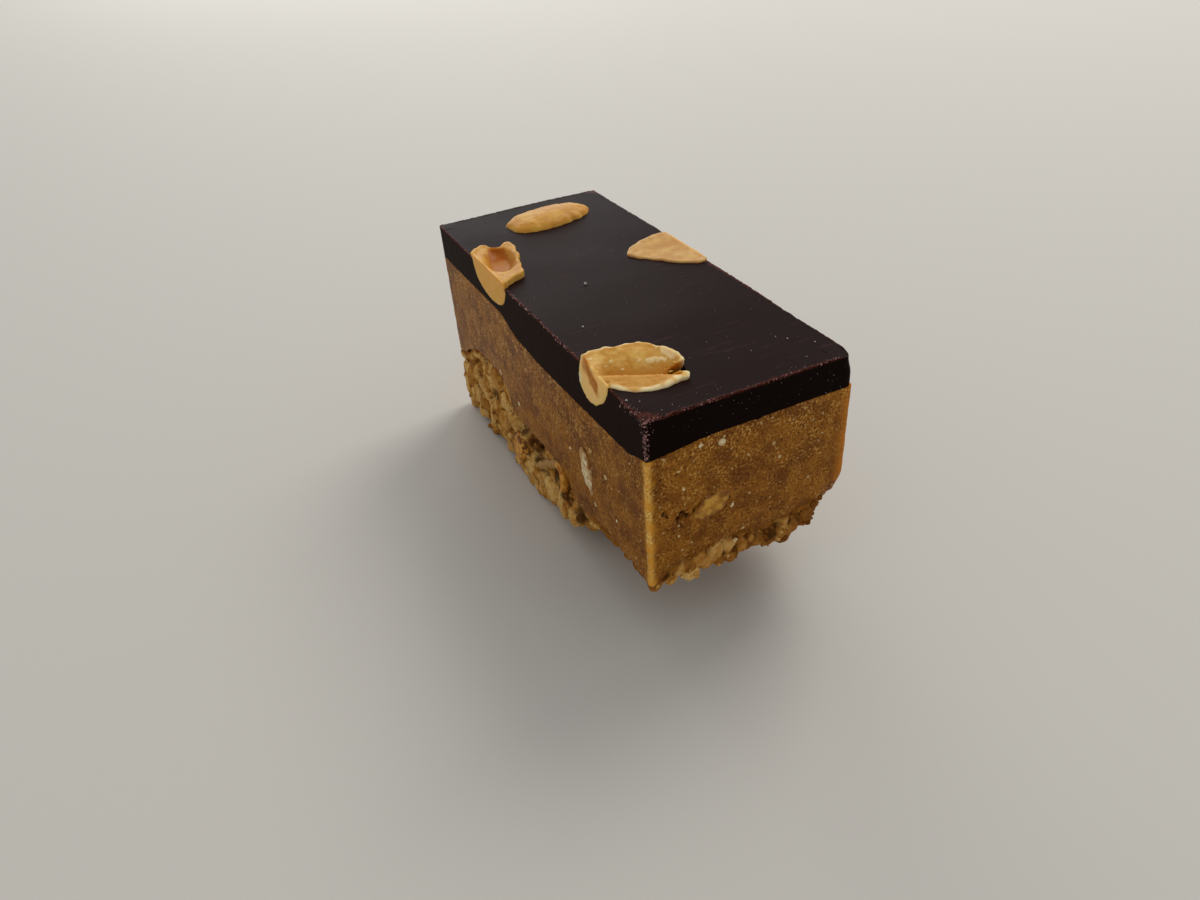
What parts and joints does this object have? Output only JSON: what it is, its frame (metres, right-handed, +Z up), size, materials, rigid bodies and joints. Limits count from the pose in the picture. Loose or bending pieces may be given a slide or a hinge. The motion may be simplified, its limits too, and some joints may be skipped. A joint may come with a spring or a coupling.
{
  "type": "peanut slice",
  "caption": "Cut slice of confectionery: crumb base broken away at the front, thick caramel layer, dark chocolate top set with peanut halves.",
  "frame": {"origin": "middle of the slice's footprint, on the surface it stands on", "axes": "+X across the slice, +Y along it from the broken front to the sound back, +Z up towards the chocolate"},
  "size_m": [0.0226, 0.054, 0.0278],
  "materials": {
    "crumb": "dry baked crumb, golden brown",
    "caramel": "firm cut caramel, golden brown with pale specks, satin",
    "chocolate": "dark chocolate, satin on top and scraped at the cut sides",
    "peanut": "roasted peanut, pale rim and golden inner face",
    "nut_chip": "cut face of a roasted nut, pale gold"
  },
  "bodies": {
    "root": {"crumb_base": "crumb", "caramel_layer": "caramel", "chocolate_layer": "chocolate", "peanut_front": "peanut", "peanut_left": "peanut", "peanut_back": "peanut", "peanut_right": "peanut", "nut_chip_left": "nut_chip", "nut_chip_front": "nut_chip", "nut_chip_base": "nut_chip"}
  },
  "joints": []
}
